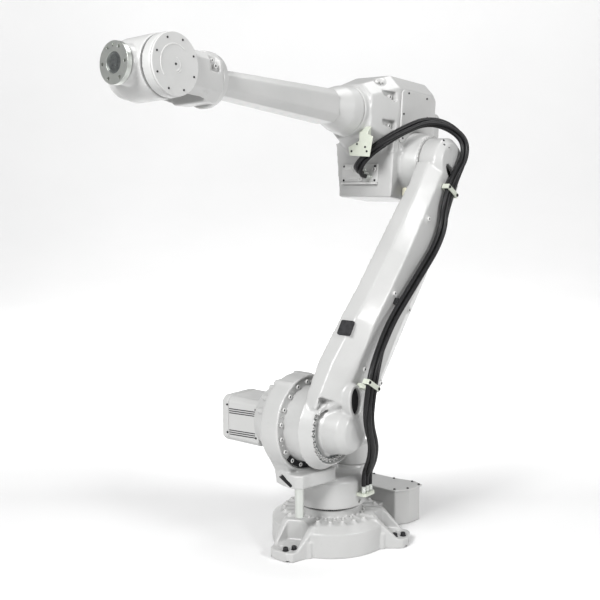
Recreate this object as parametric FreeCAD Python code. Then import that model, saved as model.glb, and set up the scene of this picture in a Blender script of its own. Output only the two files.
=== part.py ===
"""Six-axis industrial robot arm on a fixed base, in millimetres.

The frame is the base's own: Z is the first axis and points up, X points to the front of the base,
and the origin is where the first axis meets the floor.
Each moving body is drawn in its own frame, with its joint turned to zero, and is then placed
through the chain of joints at their rest angles.
"""
import FreeCAD, Part
import math
import os

V = FreeCAD.Vector
X = V(1, 0, 0)
Y = V(0, 1, 0)
Z = V(0, 0, 1)

# Joint axes and rest angles
SHOULDER_REACH = 175.0      # from the first axis out to the second
SHOULDER_HEIGHT = 495.0
ARM_LENGTH = 1095.0         # from the second axis to the third
ELBOW_RISE = 175.0          # from the third axis up to the fourth
FOREARM_REACH = 1270.0      # from above the third axis out to the fifth
WRIST_REACH = 135.0         # from the fifth axis out to the tool flange face
REST_LEAN_2 = -30.4         # the lower arm leans back
REST_BEND_3 = 26.2          # the forearm then bends down to 4.2 degrees above level
REST_ROLL_4 = 2.1
REST_BEND_5 = 2.0

RUNNING_GAP = 0.4           # between faces that turn on each other

# Base casting
DRUM_R = 225.0
DRUM_WALL_H = 91.0
DRUM_TOP_R = 192.0
DRUM_TOP_H = 114.0
HUB_R = 122.0
HUB_TOP = 146.0
CENTRE_BORE_R = 60.0
RIB_COUNT = 24
RIB_INNER_R = 130.0
RIB_H = 8.0
RIB_W = 8.0
FOOT_ANGLES = (0.0, 115.0, -115.0)
FOOT_SIDES = (1, -1, 1)     # which side of each foot has the screws, the other has the anchor hole
FOOT_PAD_H = 36.0
FOOT_TIP_R = 306.0
FOOT_TIP_HALF = 34.0
FOOT_SIDE_R = 292.0
FOOT_SIDE_HALF = 54.0
FOOT_ROOT_HALF = 84.0
POCKET_BACK_R = 172.0
POCKET_HALF = 50.0
ANCHOR_HOLE_R = 9.0
ANCHOR_AT = (262.0, 26.0)   # out from the first axis and to the side
FOOT_SCREWS_AT = ((286.0, 15.0), (257.0, 31.0))
SCREW_HEAD_R = 12.0
SCREW_HEAD_H = 13.0

# Connector box behind the base, on the same floor
BOX_LID_OUTLINE = ((-248, 133), (-306, 168), (-384, 176), (-406, 126), (-388, 40), (-388, -60),
                   (-398, -104), (-376, -128), (-306, -128), (-248, -104))
BOX_LID_EDGE = 8.0
BOX_WALL_H = 140.0
BOX_LID_T = 7.0
BOX_NECK_HALF = 72.0
BOX_NECK_H = 84.0
PANEL_SIDES = (-52.0, 36.0)
PANEL_T = 5.0
PANEL_LOW = 28.0
PANEL_HIGH = 124.0
SOCKET_R = 17.0
SOCKET_L = 16.0

# Turret
NECK_GAP = 8.0              # between the base hub and the turning neck
NECK_R = 138.0
NECK_TOP = 252.0
SHELF_TOP = 276.0
TRUNK_Y0 = -55.0
RING_RECESS_R = 167.0
RING_R = RING_RECESS_R + 11
RING_Y1 = 35.0
RING_RECESS = 15.0
HOUSING_R = 146.0
HOUSING_REAR_R = 112.0
HOUSING_Y0 = -135.0
GEAR_CASE_R = 140.0
GEAR_CASE_Y1 = 108.0
GEAR_PIN_R = 90.0
MOTOR_2_HALF = 88.0
MOTOR_2_BEVEL = 18.0
MOTOR_2_DROP = 18.0         # below the second axis
MOTOR_2_END_Y = -322.0
MOTOR_2_L = 153.0
MOTOR_1_R = 64.0
MOTOR_1_AT = (SHOULDER_REACH - RING_R - MOTOR_1_R - 25, 34.0)    # behind the ring
MOTOR_1_SEAT_Z = 290.0
MOTOR_1_TOP = 378.0
STOP_PIN_AT = (250.0, 52.0)
STOP_PIN_R = 16.5
STOP_PIN_BOTTOM = 160.0
STOP_PIN_DEPTH = 20.0         # of the pin in its lug
LUG_TOP = SHOULDER_HEIGHT - RING_RECESS_R - 6      # under the ring's recess
LUG_BOTTOM = LUG_TOP - 52

# Lower arm
ARM_IN_Y = 111.0
ARM_HUB_R = 160.0
ARM_HUB_RIM_R = 128.0
ARM_HUB_RIM_Y = 168.0
ARM_HUB_FLOOR_Y = 160.0
ARM_DOME_R = 95.0
ARM_HEAD_R = 95.0
ARM_HEAD_Y0 = 204.0
ARM_HEAD_Y1 = 298.0
BUMPER_SIZE = 56.0
BUMPER_T = 9.0
BUMPER_Y = 194.0
BUMPER_Z = 322.0
# Sections of the beam: height above the second axis or, below zero, from the third, then y of the
# inner face, of the end of the front flat, of the outer face and of the end of the rear bevel, then
# x of the front, its crease, the rear crease and the rear.
ARM_SECTIONS = (
    (20, 112, 158, 170, 160, 148, 70, -70, -140),
    (70, 112, 170, 222, 168, 160, 98, -54, -154),
    (190, 122, 186, 250, 180, 171, 104, -42, -152),
    (370, 151, 217, 260, 205, 165, 104, -46, -144),
    (500, 157, 223, 270, 225, 138, 92, -50, -135),
    (-425, 166, 232, 276, 255, 115, 65, -80, -120),
    (-245, 190, 248, 287, 268, 108, 52, -88, -110),
    (-150, 206, 256, 293, 276, 102, 46, -87, -102),
    (-50, 206, 262, 298, 285, 97, 40, -85, -95),
)
LOW_CLAMP_AT = (100.0, 325.0, 150.0)

# Elbow
ELBOW_RING_R = 118.0
ELBOW_CASE_LOW = -140.0
ELBOW_FRONT_X = 160.0
CASE_HALF = 130.0
COVER_T = 7.0
MOTOR_3_R = 56.0
MOTOR_3_X = -34.0
MOTOR_3_Y1 = -138.0
MOTOR_3_END_Y = -224.0
MOTOR_4_HALF = 56.0
MOTOR_4_X1 = -150.0
MOTOR_4_END_X = -292.0

# Forearm, wrist and tool flange
ROLL_SEAM_X = 300.0
ROLL_SEAM_R = 94.5
WRIST_SEAM_X = FOREARM_REACH - 222
WRIST_SEAM_R = 92.0
FORK_HALF = 72.0            # half the gap between the two cheeks
CHEEKS = ((108.0, 94.0), (-98.0, 86.0))     # outer face in y and radius, near and far
CHEEK_COVER_EDGE = 2.0
CHEEK_COVER_T = 6.0
FORK_DEPTH = 160.0          # how far the gap goes back from the fifth axis
TILT_R = 96.0
TILT_HALF = 66.0
FLANGE_R = 62.5
FLANGE_T = 16.0
FLANGE_BORE_R = 31.5
FLANGE_BORE_L = 6.0
FLANGE_BOLT_COUNT = 6
FLANGE_BOLT_CIRCLE_R = 50.0
FLANGE_BOLT_R = 5.0
FLANGE_PIN_R = 4.5
NOSE_END_R = FLANGE_BOLT_CIRCLE_R - FLANGE_BOLT_R - 3      # leaves room behind the flange bolts

# Cables
CABLE_R = 8.5
CABLE_COUNT = 3
WAIST_PLUG_L = 26.0
PLUG_R = CABLE_R + 1.1
HIGH_CLAMP_AT = (-20.0, ARM_HEAD_Y1 + 5.5 + CABLE_R, ARM_LENGTH - 111)
CLAMP_T = 18.0
CLAMP_GAP = 0.6
CABLE_SPREAD = (CABLE_R + 1.5) / 10     # grows the steps below with the cables
# Each point of a route is the middle cable's, with the step from it to its neighbour.
# The routes are in the frames of the turret, the lower arm and the elbow.
WAIST_ROUTE = (((172, 302, 530), (15, -13, 0)), ((114, 284, 442), (13, -15, 0)),
               ((62, 240, 368), (13, -15, 0)), ((14, 192, 318), (15, -13, 0)),
               ((-18, 160, 280), (20, 0, 0)), ((-18, 160, 236), (20, 0, 0)))
ARM_ROUTE = (((-52, 306, ARM_LENGTH - 245), (20, 0, 0)), ((-50, 302, ARM_LENGTH - 340), (19, 0, 3)),
             ((-24, 299, ARM_LENGTH - 427), (19, 0, 6)), ((6, 297, 580), (18, 0, 7)),
             ((38, 297, 490), (18, 0, 7)), ((70, 299, 405), (18, 0, 5)), ((92, 305, 318), (20, 0, 0)))
ELBOW_ROUTE = (((198, 20, -50), (0, 15, -13)), ((230, 20, -50), (0, 15, -13)),
               ((254, 44, -22), (1, 14, -13)), ((247, 90, 26), (0, 14, -13)),
               ((212, 119.5 + CABLE_R, 66), (-8, 6, -16)), ((146, 153.5 + CABLE_R, 112), (-10, -2, -16)),
               ((64, 208, 156), (-6, -3, -18)), ((-10, 262, 146), (6, -4, -18)),
               ((-58, HIGH_CLAMP_AT[1], 92), (17, 0, -9)),
               ((-46, HIGH_CLAMP_AT[1] + 6, 12), (20, 0, 2)))
LOW_CLAMP_RUN = (-0.323, -0.03, -0.946)     # way the cables run through the low clamp
LOW_CLAMP_RUN_L = (50.0, 70.0)              # straight length before and after its middle
HIGH_CLAMP_RUN_L = 60.0
LOW_CLAMP_STEP = (20.0, 0.0, -6.5)          # from cable to cable inside the clamps
HIGH_CLAMP_STEP = (20.0, 0.0, 0.0)


def polygon_prism(points, direction):
    """Solid from a closed outline of points, pushed along a direction."""
    wire = Part.makePolygon([V(*p) for p in points] + [V(*points[0])])
    return Part.Face(wire).extrude(direction)


def plan_prism(points, z0, z1):
    return polygon_prism([(x, y, z0) for x, y in points], V(0, 0, z1 - z0))


def side_prism(points, y0, y1):
    """Outline given as x, z, pushed along Y."""
    return polygon_prism([(x, y0, z) for x, z in points], V(0, y1 - y0, 0))


def cyl(radius, start, length, direction=Z):
    return Part.makeCylinder(radius, length, V(*start), direction)


def box(x, y, z):
    """Box from pairs of low and high limits."""
    return Part.makeBox(x[1] - x[0], y[1] - y[0], z[1] - z[0], V(x[0], y[0], z[0]))


def turned_about_z(profile):
    """Solid of revolution from r, z points."""
    wire = Part.makePolygon([V(r, 0, z) for r, z in profile] + [V(profile[0][0], 0, profile[0][1])])
    return Part.Face(wire).revolve(V(0, 0, 0), Z, 360)


def turned_about_x(profile):
    """Solid of revolution from x, r points."""
    wire = Part.makePolygon([V(x, 0, r) for x, r in profile] + [V(profile[0][0], 0, profile[0][1])])
    return Part.Face(wire).revolve(V(0, 0, 0), X, 360)


def turned_about_y(profile, x=0.0, z=0.0):
    """Solid of revolution from y, r points, about a line along Y."""
    wire = Part.makePolygon([V(r, y, 0) for y, r in profile] + [V(profile[0][1], profile[0][0], 0)])
    solid = Part.Face(wire).revolve(V(0, 0, 0), Y, 360)
    solid.translate(V(x, 0, z))
    return solid


def loft(sections):
    """Solid through closed outlines of equally many points."""
    wires = [Part.makePolygon([V(*p) for p in s] + [V(*s[0])]) for s in sections]
    return Part.makeLoft(wires, True, True)


def bevelled(half_y, z_low, z_high, bevel):
    """Rectangle with cut corners, as y, z points."""
    return [
        (half_y, z_low + bevel), (half_y, z_high - bevel),
        (half_y - bevel, z_high), (bevel - half_y, z_high),
        (-half_y, z_high - bevel), (-half_y, z_low + bevel),
        (bevel - half_y, z_low), (half_y - bevel, z_low),
    ]


def octagon_x(x, half_y, z_low, z_high, bevel):
    return [(x, y, z) for y, z in bevelled(half_y, z_low, z_high, bevel)]


def inset(points, distance):
    """Convex plan outline moved inwards."""
    face = Part.Face(Part.makePolygon([V(x, y, 0) for x, y in points] + [V(*points[0], 0)]))
    return [(v.X, v.Y) for v in face.makeOffset2D(-distance, 2).OuterWire.OrderedVertexes]


def placement(offset, axis, angle):
    return FreeCAD.Placement(V(*offset), FreeCAD.Rotation(axis, angle))


BASE = FreeCAD.Placement()
TURRET = FreeCAD.Placement()
ARM = TURRET.multiply(placement((SHOULDER_REACH, 0, SHOULDER_HEIGHT), Y, REST_LEAN_2))
ELBOW = ARM.multiply(placement((0, 0, ARM_LENGTH), Y, REST_BEND_3))
FOREARM = ELBOW.multiply(placement((0, 0, ELBOW_RISE), X, REST_ROLL_4))
WRIST = FOREARM.multiply(placement((FOREARM_REACH, 0, 0), Y, REST_BEND_5))


# ---------------------------------------------------------------- base
def foot_outline():
    half = [(DRUM_TOP_R - 60, FOOT_ROOT_HALF), (DRUM_R, FOOT_ROOT_HALF - 12),
            (FOOT_SIDE_R, FOOT_SIDE_HALF), (FOOT_TIP_R, FOOT_TIP_HALF)]
    return half + [(x, -y) for x, y in reversed(half)]


def foot():
    """Foot pad with two side walls that run down from the drum, drawn on the X axis."""
    block = plan_prism(foot_outline(), 0, DRUM_TOP_H)
    slope = side_prism([(DRUM_TOP_R, DRUM_TOP_H), (FOOT_SIDE_R - 20, FOOT_PAD_H),
                        (FOOT_TIP_R + 50, FOOT_PAD_H), (FOOT_TIP_R + 50, DRUM_TOP_H + 50),
                        (DRUM_TOP_R, DRUM_TOP_H + 50)], -150, 150)
    return block.cut(slope)


def foot_pocket():
    return plan_prism([(POCKET_BACK_R, 0), (DRUM_TOP_R + 4, POCKET_HALF), (FOOT_TIP_R + 20, POCKET_HALF - 6),
                       (FOOT_TIP_R + 20, 6 - POCKET_HALF), (DRUM_TOP_R + 4, -POCKET_HALF)],
                      FOOT_PAD_H, DRUM_TOP_H + 60)


def on_foot(shape, angle):
    copy = shape.copy()
    copy.rotate(V(0, 0, 0), Z, angle)
    return copy


def on_feet(shape):
    return [on_foot(shape, angle) for angle in FOOT_ANGLES]


def ribs():
    """Low ribs round the top of the drum, left out over the foot pockets."""
    pockets = Part.makeCompound(on_feet(foot_pocket()))
    kept = []
    for i in range(RIB_COUNT):
        rib = box((RIB_INNER_R, DRUM_TOP_R - 4), (-RIB_W / 2, RIB_W / 2),
                  (DRUM_TOP_H - 1, DRUM_TOP_H + RIB_H))
        rib = on_foot(rib, (i + 0.5) * 360.0 / RIB_COUNT)
        if rib.distToShape(pockets)[0] > 3:
            kept.append(rib)
    return kept


def box_neck():
    """Web that carries the connector box on the back of the drum."""
    back = BOX_LID_OUTLINE[0][0] - BOX_LID_EDGE
    return box((back, CENTRE_BORE_R - DRUM_R), (-BOX_NECK_HALF, BOX_NECK_HALF), (0, BOX_NECK_H))


def base_casting():
    body = turned_about_z([(CENTRE_BORE_R, 0), (DRUM_R, 0), (DRUM_R, DRUM_WALL_H), (DRUM_TOP_R, DRUM_TOP_H),
                           (HUB_R, DRUM_TOP_H), (HUB_R, HUB_TOP), (CENTRE_BORE_R, HUB_TOP)])
    body = body.fuse(on_feet(foot()) + [box_neck()]).cut(Part.makeCompound(on_feet(foot_pocket())))
    body = body.fuse(ribs())
    holes = [on_foot(cyl(ANCHOR_HOLE_R, (ANCHOR_AT[0], -side * ANCHOR_AT[1], -1), FOOT_PAD_H + 2), angle)
             for angle, side in zip(FOOT_ANGLES, FOOT_SIDES)]
    return body.cut(Part.makeCompound(holes)).removeSplitter()


def axis_1_bearing_ring():
    """Bearing between the base hub and the turret's neck."""
    outer = cyl(HUB_R - 10, (0, 0, HUB_TOP), NECK_GAP - RUNNING_GAP)
    return outer.cut(cyl(CENTRE_BORE_R, (0, 0, HUB_TOP - 1), NECK_GAP + 2))


def foot_screws():
    """The black screw heads on the foot pads, two a foot."""
    return [on_foot(cyl(SCREW_HEAD_R, (out, side * aside, FOOT_PAD_H), SCREW_HEAD_H), angle)
            for angle, side in zip(FOOT_ANGLES, FOOT_SIDES) for out, aside in FOOT_SCREWS_AT]


def connector_box():
    return plan_prism(inset(BOX_LID_OUTLINE, BOX_LID_EDGE), 0, BOX_WALL_H)


def connector_box_lid():
    return plan_prism(BOX_LID_OUTLINE, BOX_WALL_H, BOX_WALL_H + BOX_LID_T)


def connector_panel():
    """Socket plate on the back of the box, with its four round sockets."""
    x = max(x for x, y in BOX_LID_OUTLINE if y in (40, -60)) + BOX_LID_EDGE
    plate = box((x - PANEL_T, x), PANEL_SIDES, (PANEL_LOW, PANEL_HIGH))
    middle = (PANEL_LOW + PANEL_HIGH) / 2
    sockets = [cyl(SOCKET_R, (x - PANEL_T, y, middle + z), SOCKET_L, -X)
               for y in (PANEL_SIDES[0] + 23, PANEL_SIDES[1] - 23) for z in (-22, 22)]
    return plate.fuse(sockets).removeSplitter()


# ---------------------------------------------------------------- turret
def neck_bottom():
    return HUB_TOP + NECK_GAP


def lug_block():
    """Front ledge of the turret, which holds the stop pin."""
    x, y = STOP_PIN_AT
    return plan_prism([(100, -56), (x + 6, -56), (x + 20, -20), (x + 30, y - 30), (x + 27, y + 2),
                       (x + 12, y + 26), (x - 26, y + 30), (150, 98), (90, 98)], LUG_BOTTOM, LUG_TOP)


def turret_casting():
    z0 = neck_bottom()
    neck = turned_about_z([(0, z0), (NECK_R, z0), (NECK_R, NECK_TOP), (NECK_R - 16, SHELF_TOP),
                           (0, SHELF_TOP)])
    trunk = side_prism([(-18, NECK_TOP - 20), (130, NECK_TOP - 20), (256, SHELF_TOP), (266, 325), (338, 440),
                        (350, SHOULDER_HEIGHT), (0, SHOULDER_HEIGHT), (-14, 380)],
                       TRUNK_Y0, RING_Y1 - RING_RECESS)
    ring = turned_about_y([(TRUNK_Y0, 0), (TRUNK_Y0, RING_R - 14), (TRUNK_Y0 + 14, RING_R),
                           (RING_Y1, RING_R), (RING_Y1, RING_RECESS_R),
                           (RING_Y1 - RING_RECESS, RING_RECESS_R),
                           (RING_Y1 - RING_RECESS, 0)], SHOULDER_REACH, SHOULDER_HEIGHT)
    housing = turned_about_y([(HOUSING_Y0, 0), (HOUSING_Y0, HOUSING_REAR_R), (TRUNK_Y0, HOUSING_R),
                              (TRUNK_Y0 + 1, HOUSING_R), (TRUNK_Y0 + 1, 0)], SHOULDER_REACH, SHOULDER_HEIGHT)
    motor_seat = cyl(MOTOR_1_R + 8, (*MOTOR_1_AT, NECK_TOP - 40), MOTOR_1_SEAT_Z - NECK_TOP + 40)
    pin_hole = cyl(STOP_PIN_R, (*STOP_PIN_AT, LUG_BOTTOM - 1), 1 + STOP_PIN_DEPTH)
    return neck.fuse([trunk, ring, housing, lug_block(), motor_seat]).cut(pin_hole).removeSplitter()


def axis_1_motor():
    """Upright motor behind the second axis, under a round cover."""
    r = MOTOR_1_R
    can = turned_about_z([(0, MOTOR_1_SEAT_Z), (r, MOTOR_1_SEAT_Z), (r, MOTOR_1_TOP - 12),
                          (r - 12, MOTOR_1_TOP), (0, MOTOR_1_TOP)])
    can.translate(V(*MOTOR_1_AT, 0))
    return can


def axis_2_gear_case():
    y0 = RING_Y1 - RING_RECESS
    flange_r = RING_RECESS_R - 1.5
    return turned_about_y([(y0, 0), (y0, flange_r), (y0 + 9, flange_r), (y0 + 12, GEAR_CASE_R),
                           (GEAR_CASE_Y1 - 6, GEAR_CASE_R), (GEAR_CASE_Y1, GEAR_CASE_R - 6),
                           (GEAR_CASE_Y1, GEAR_PIN_R), (ARM_IN_Y - RUNNING_GAP, GEAR_PIN_R),
                           (ARM_IN_Y - RUNNING_GAP, 0)], SHOULDER_REACH, SHOULDER_HEIGHT)


def motor_2_section(y, grow):
    half = MOTOR_2_HALF + grow
    z = SHOULDER_HEIGHT - MOTOR_2_DROP
    return [(SHOULDER_REACH + a, y, z + b) for a, b in bevelled(half, -half, half, MOTOR_2_BEVEL)]


def axis_2_motor():
    return loft([motor_2_section(HOUSING_Y0, 0), motor_2_section(HOUSING_Y0 - MOTOR_2_L, 0)])


def axis_2_motor_cap():
    """End cover of the motor, with a small bevel round its end."""
    return loft([motor_2_section(HOUSING_Y0 - MOTOR_2_L, 0), motor_2_section(MOTOR_2_END_Y + 6, 0),
                 motor_2_section(MOTOR_2_END_Y, -6)])


def stop_pin():
    length = LUG_BOTTOM + STOP_PIN_DEPTH - STOP_PIN_BOTTOM
    pin = cyl(STOP_PIN_R, (*STOP_PIN_AT, STOP_PIN_BOTTOM), length)
    return pin.makeChamfer(2, [e for e in pin.Edges if abs(e.BoundBox.ZMax - STOP_PIN_BOTTOM) < 0.01])


def waist_plug_bracket():
    """Shelf on the turret neck that the three cable plugs stand on."""
    x, y, z = WAIST_ROUTE[-1][0]
    top = z - WAIST_PLUG_L
    shelf = plan_prism([(x - 36, y - 50), (x + 36, y - 50), (x + 36, y + 8), (x + 26, y + 17),
                        (x - 26, y + 17), (x - 36, y + 8)], top - 12, top)
    return shelf.cut(cyl(NECK_R, (0, 0, top - 20), 30))


def waist_plugs():
    return [cyl(PLUG_R, points[-1] - V(0, 0, WAIST_PLUG_L), WAIST_PLUG_L) for points in waist_routes()]


# ---------------------------------------------------------------- lower arm
def from_second_axis(height):
    """Height above the second axis, from one that may be measured from the third."""
    return height if height > 0 else ARM_LENGTH + height


def arm_section(height, inner, flat, outer, bevel_end, front, crease, rear_crease, rear):
    z = from_second_axis(height)
    return [(front, inner, z), (front, flat, z), (crease, outer, z), (rear_crease, outer, z),
            (rear, bevel_end, z), (rear, inner, z)]


def lower_arm_casting():
    beam = loft([arm_section(*values) for values in ARM_SECTIONS])
    hub = turned_about_y([(ARM_IN_Y, 0), (ARM_IN_Y, ARM_HUB_R), (ARM_HUB_RIM_Y, ARM_HUB_RIM_R),
                          (ARM_HUB_RIM_Y, ARM_HUB_RIM_R - 7), (ARM_HUB_FLOOR_Y, ARM_HUB_RIM_R - 10),
                          (ARM_HUB_FLOOR_Y, ARM_DOME_R), (225, 84), (250, 66), (258, 40), (258, 0)])
    head = turned_about_y([(ARM_HEAD_Y0, 0), (ARM_HEAD_Y0, ARM_HEAD_R), (ARM_HEAD_Y1 - 22, ARM_HEAD_R),
                           (ARM_HEAD_Y1, ARM_HEAD_R - 22), (ARM_HEAD_Y1, 0)], 0, ARM_LENGTH)
    return beam.fuse([hub, head]).removeSplitter()


def arm_front(z):
    """X of the beam's front face at a height, and its slope there in degrees."""
    fronts = [(from_second_axis(values[0]), values[5]) for values in ARM_SECTIONS]
    low_z, low_x = max(front for front in fronts if front[0] <= z)
    high_z, high_x = min(front for front in fronts if front[0] > z)
    slope = (high_x - low_x) / (high_z - low_z)
    return low_x + slope * (z - low_z), math.degrees(math.atan(slope))


def bumper():
    """Square rubber pad on the front of the lower arm."""
    half = BUMPER_SIZE / 2
    pad = box((-half, half), (-half, half), (0, BUMPER_T))
    pad = pad.makeFillet(6, [e for e in pad.Edges if e.BoundBox.ZLength > BUMPER_T / 2])
    x, slope = arm_front(BUMPER_Z)
    pad.rotate(V(0, 0, 0), Y, 90 + slope)
    pad.translate(V(x, BUMPER_Y, BUMPER_Z))
    return pad


def clamp(where, foot_x):
    """Frame round the three cables, on a foot that ends on the arm's wall."""
    x, y, z = where
    half = steps()[-1] * HIGH_CLAMP_STEP[0] + CABLE_R + 6
    thick = CABLE_R + CLAMP_GAP
    jaw = box((x - half - 5, x + half + 5), (y - thick - 5, y + thick + 5),
              (z - CLAMP_T / 2, z + CLAMP_T / 2))
    window = box((x - half, x + half), (y - thick, y + thick), (z - CLAMP_T, z + CLAMP_T))
    arm = box((x + foot_x, x + foot_x + 24), (y - 80, y - thick - 1), (z - CLAMP_T / 2, z + CLAMP_T / 2))
    return jaw.cut(window).fuse(arm).cut(lower_arm_casting()).removeSplitter()


def cable_tie_bracket():
    """Small block half way up the arm that the cables are tied to."""
    x, y, z = ARM_ROUTE[4][0]
    block = box((x - 14, x + 14), (y - 60, y - CABLE_R - CLAMP_GAP), (z - 12, z + 12))
    return block.cut(lower_arm_casting())


# ---------------------------------------------------------------- elbow
def elbow_housing():
    half = CASE_HALF
    case = loft([octagon_x(MOTOR_4_X1, half - 12, 42, 298, 36), octagon_x(-110, half, 16, 326, 45),
                 octagon_x(130, half, 12, 326, 50), octagon_x(ROLL_SEAM_X - 30, 98, 76, 276, 45)])
    nose = cyl(ROLL_SEAM_R, (ROLL_SEAM_X - 32, 0, ELBOW_RISE), 32, X)
    ring_end = ARM_HEAD_Y0 - RUNNING_GAP
    ring = turned_about_y([(0, 0), (0, ELBOW_RING_R), (150, ELBOW_RING_R), (ring_end, ELBOW_RING_R - 10),
                           (ring_end, 0)])
    low = loft([[(ELBOW_FRONT_X + 8, 138, 70), (ELBOW_FRONT_X + 8, -138, 70),
                 (-60, -118, 70), (-60, 118, 70)],
                [(ELBOW_FRONT_X - 4, 128, ELBOW_CASE_LOW), (ELBOW_FRONT_X - 4, -118, ELBOW_CASE_LOW),
                 (-20, -100, ELBOW_CASE_LOW - 10), (-20, 100, ELBOW_CASE_LOW - 10)]])
    motor_boss = cyl(MOTOR_3_R + 8, (MOTOR_3_X, 0, 0), -MOTOR_3_Y1, -Y)
    return case.fuse([nose, ring, low, motor_boss]).removeSplitter()


def elbow_side_cover():
    """Flat cover on the side of the upper case, cut round the axis 3 ring."""
    outline = [(-104, 72), (-104, 254), (-78, 272), (110, 272), (122, 260), (122, 72)]
    cover = side_prism(outline, CASE_HALF, CASE_HALF + COVER_T)
    return cover.cut(cyl(ELBOW_RING_R + 3, (0, CASE_HALF - 1, 0), COVER_T + 2, Y))


def elbow_front_cover():
    """Connector plate on the front of the lower case."""
    x = ELBOW_FRONT_X
    plate = polygon_prism([(x - 10, -100, -84), (x - 10, -100, -13), (x - 10, 69, -13), (x - 10, 69, -84)],
                          V(18, 0, 0))
    return plate.cut(elbow_housing())


def elbow_plugs():
    """Cable plugs on the connector plate."""
    face_x = ELBOW_FRONT_X + 8
    return [cyl(PLUG_R, V(face_x, points[0].y, points[0].z), points[0].x - face_x, X)
            for points in elbow_routes()]


def axis_3_motor():
    return cyl(MOTOR_3_R, (MOTOR_3_X, MOTOR_3_Y1, 0), MOTOR_3_Y1 - MOTOR_3_END_Y, -Y)


def axis_4_motor():
    z = ELBOW_RISE
    return loft([octagon_x(x, half, z - half, z + half, 12)
                 for x, half in ((MOTOR_4_X1, MOTOR_4_HALF), (MOTOR_4_END_X + 8, MOTOR_4_HALF),
                                 (MOTOR_4_END_X, MOTOR_4_HALF - 8))])


def cable_bracket():
    """Bent plate under the case that the cables pass behind on the way to their plugs."""
    x = 283
    plate = polygon_prism([(x, 14, 40), (x, 62, 61), (x, 62, 76), (x, 100, 86), (x, 124, 76), (x, 112, 2),
                           (x, 22, 8)], V(4, 0, 0))
    tab = box((x - 18, x + 4), (62, 100), (70, 116))
    return plate.fuse(tab).cut(elbow_housing()).removeSplitter()


# ---------------------------------------------------------------- forearm, wrist and flange
def forearm_tube():
    seam = WRIST_SEAM_X
    tube = loft([octagon_x(420, 64, -62, 60, 26), octagon_x(seam - 48, 50, -44, 38, 20)])
    x0 = ROLL_SEAM_X + RUNNING_GAP
    root = turned_about_x([(x0, 0), (x0, ROLL_SEAM_R), (350, 86), (430, 60), (430, 0)])
    tip = turned_about_x([(seam - 63, 0), (seam - 63, 45), (seam - 28, 86), (seam, WRIST_SEAM_R), (seam, 0)])
    return tube.fuse([root, tip]).removeSplitter()


def wrist_housing():
    (near_y, near_r), (far_y, far_r) = CHEEKS
    shell = loft([octagon_x(WRIST_SEAM_X, 92, -80, 74, 30), octagon_x(FOREARM_REACH - 160, 98, -84, 76, 34),
                  octagon_x(FOREARM_REACH - 80, 98, -86, 82, 40),
                  octagon_x(FOREARM_REACH - 20, 98, -90, 90, 44)])
    near = cyl(near_r, (FOREARM_REACH, FORK_HALF, 0), near_y - FORK_HALF, Y)
    blend = cyl(near_r, (FOREARM_REACH, 60, 0), near_y - 60 - 6, Y)
    far = cyl(far_r, (FOREARM_REACH, far_y, 0), -far_y - FORK_HALF, Y)
    slot = box((FOREARM_REACH - FORK_DEPTH, FOREARM_REACH + 130), (-FORK_HALF, FORK_HALF), (-200, 200))
    return shell.fuse([near, blend, far]).cut(slot).removeSplitter()


def wrist_side_covers():
    """Round covers over the ends of the fifth axis."""
    return [cyl(r - CHEEK_COVER_EDGE, (FOREARM_REACH, y, 0), CHEEK_COVER_T, Y * (y / abs(y)))
            for y, r in CHEEKS]


def wrist_unit():
    core = cyl(TILT_R, (0, -TILT_HALF, 0), 2 * TILT_HALF, Y)
    pins = [cyl(40, (0, y0, 0), FORK_HALF - RUNNING_GAP - TILT_HALF + 1, Y) for y0 in
            (TILT_HALF - 1, RUNNING_GAP - FORK_HALF)]
    end = WRIST_REACH - FLANGE_T - RUNNING_GAP
    nose = turned_about_x([(0, 0), (0, 64), (end - 22, 60), (end - 8, 58), (end - 4, NOSE_END_R),
                           (end, NOSE_END_R), (end, 0)])
    return core.fuse(pins + [nose]).removeSplitter()


def around_flange(shape, count, first):
    copies = []
    for i in range(count):
        copy = shape.copy()
        copy.rotate(V(0, 0, 0), X, first + i * 360.0 / count)
        copies.append(copy)
    return copies


def tool_flange():
    x0 = WRIST_REACH - FLANGE_T
    disc = cyl(FLANGE_R, (x0, 0, 0), FLANGE_T, X)
    bore = cyl(FLANGE_BORE_R, (WRIST_REACH - FLANGE_BORE_L, 0, 0), FLANGE_BORE_L + 1, X)
    hole = cyl(FLANGE_BOLT_R, (x0 - 1, 0, FLANGE_BOLT_CIRCLE_R), FLANGE_T + 2, X)
    holes = around_flange(hole, FLANGE_BOLT_COUNT, 30)
    holes.append(cyl(FLANGE_PIN_R, (x0 + 6, 0, FLANGE_BOLT_CIRCLE_R), FLANGE_T, X))
    return disc.cut(Part.makeCompound([bore] + holes))


# ---------------------------------------------------------------- cables
def steps():
    """Places of the cables beside the middle one."""
    return [(i - (CABLE_COUNT - 1) / 2) * CABLE_SPREAD for i in range(CABLE_COUNT)]


def arm_ends(step):
    """Where one cable passes the middle of each clamp, in the lower arm's frame."""
    return V(*HIGH_CLAMP_AT) + V(*HIGH_CLAMP_STEP) * step, V(*LOW_CLAMP_AT) + V(*LOW_CLAMP_STEP) * step


def route_points(route, step):
    return [V(*point) + V(*beside) * step for point, beside in route]


def arm_routes():
    routes = []
    for step in steps():
        high, low = arm_ends(step)
        inner = route_points(ARM_ROUTE, step)
        last = low - V(*LOW_CLAMP_RUN) * LOW_CLAMP_RUN_L[0]
        routes.append([high, high - Z * HIGH_CLAMP_RUN_L] + inner + [last, low])
    return routes


def waist_routes():
    routes = []
    for step in steps():
        low = arm_ends(step)[1]
        start = [ARM.multVec(low), ARM.multVec(low + V(*LOW_CLAMP_RUN) * LOW_CLAMP_RUN_L[1])]
        routes.append(start + route_points(WAIST_ROUTE, step))
    return routes


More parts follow.
